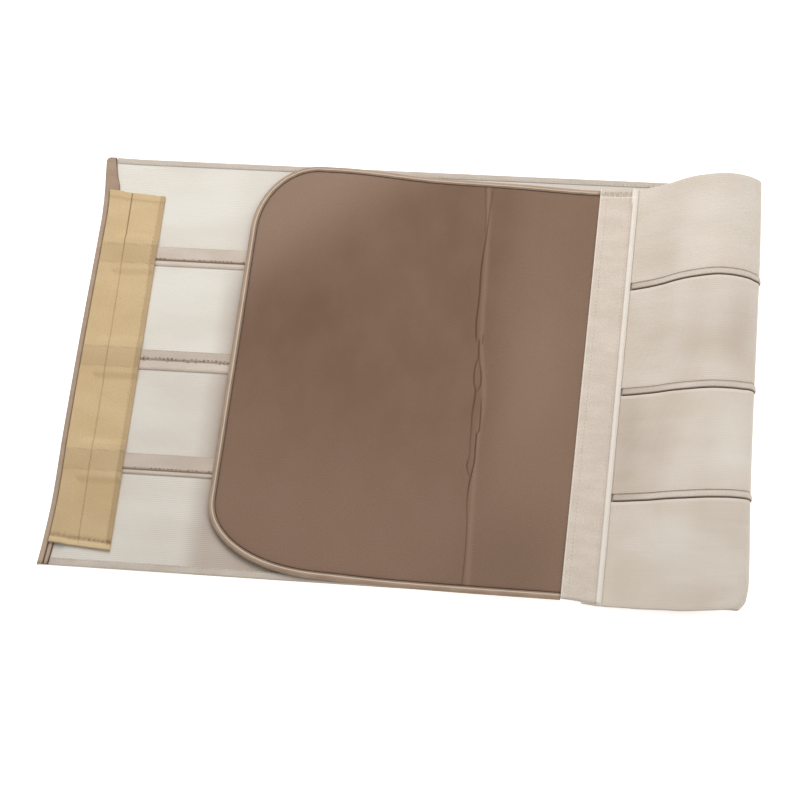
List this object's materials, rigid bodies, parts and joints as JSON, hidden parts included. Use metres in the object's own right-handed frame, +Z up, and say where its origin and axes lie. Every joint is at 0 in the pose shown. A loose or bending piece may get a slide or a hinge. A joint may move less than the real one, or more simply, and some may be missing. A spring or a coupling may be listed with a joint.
{
  "type": "abdominal binder",
  "caption": "Elastic abdominal binder folded once and lying flat: wide elastic bands, padded loop panel with rolled binding, joining tape and hook fastener strip.",
  "frame": {"origin": "middle of the footprint, on the surface that the folded binder lies on", "axes": "+X along the band towards its fold, +Y towards the far long edge, +Z up out of the surface"},
  "size_m": [0.452, 0.3104, 0.0258],
  "materials": {
    "elastic": "woven elastic with fine lengthwise ribs, pale beige outside and cream inside",
    "seam_tape": "flat woven tape, matte taupe",
    "hem": "turned and stitched hem, matte taupe",
    "end_binding": "rolled woven binding, matte brown taupe",
    "hook": "moulded hook tape, honey tan with a slight sheen",
    "loop": "brushed loop plush over foam, matte brown",
    "panel_binding": "rolled binding, soft sheen, tan beige",
    "joining_tape": "flat woven tape with a folded lip, pale beige"
  },
  "bodies": {
    "root": {"elastic_band_1_front": "elastic", "elastic_band_1_back": "elastic", "elastic_band_2_front": "elastic", "elastic_band_2_back": "elastic", "elastic_band_3_front": "elastic", "elastic_band_3_back": "elastic", "elastic_band_4_front": "elastic", "elastic_band_4_back": "elastic", "seam_rib_1_front": "seam_tape", "seam_rib_1_back": "seam_tape", "seam_rib_2_front": "seam_tape", "seam_rib_2_back": "seam_tape", "seam_rib_3_front": "seam_tape", "seam_rib_3_back": "seam_tape", "seam_tape_1": "seam_tape", "seam_tape_2": "seam_tape", "seam_tape_3": "seam_tape", "hem_far": "hem", "hem_near": "hem", "end_binding": "end_binding", "hook_strip": "hook", "loop_panel": "loop", "panel_binding": "panel_binding", "joining_tape": "joining_tape"}
  },
  "joints": []
}
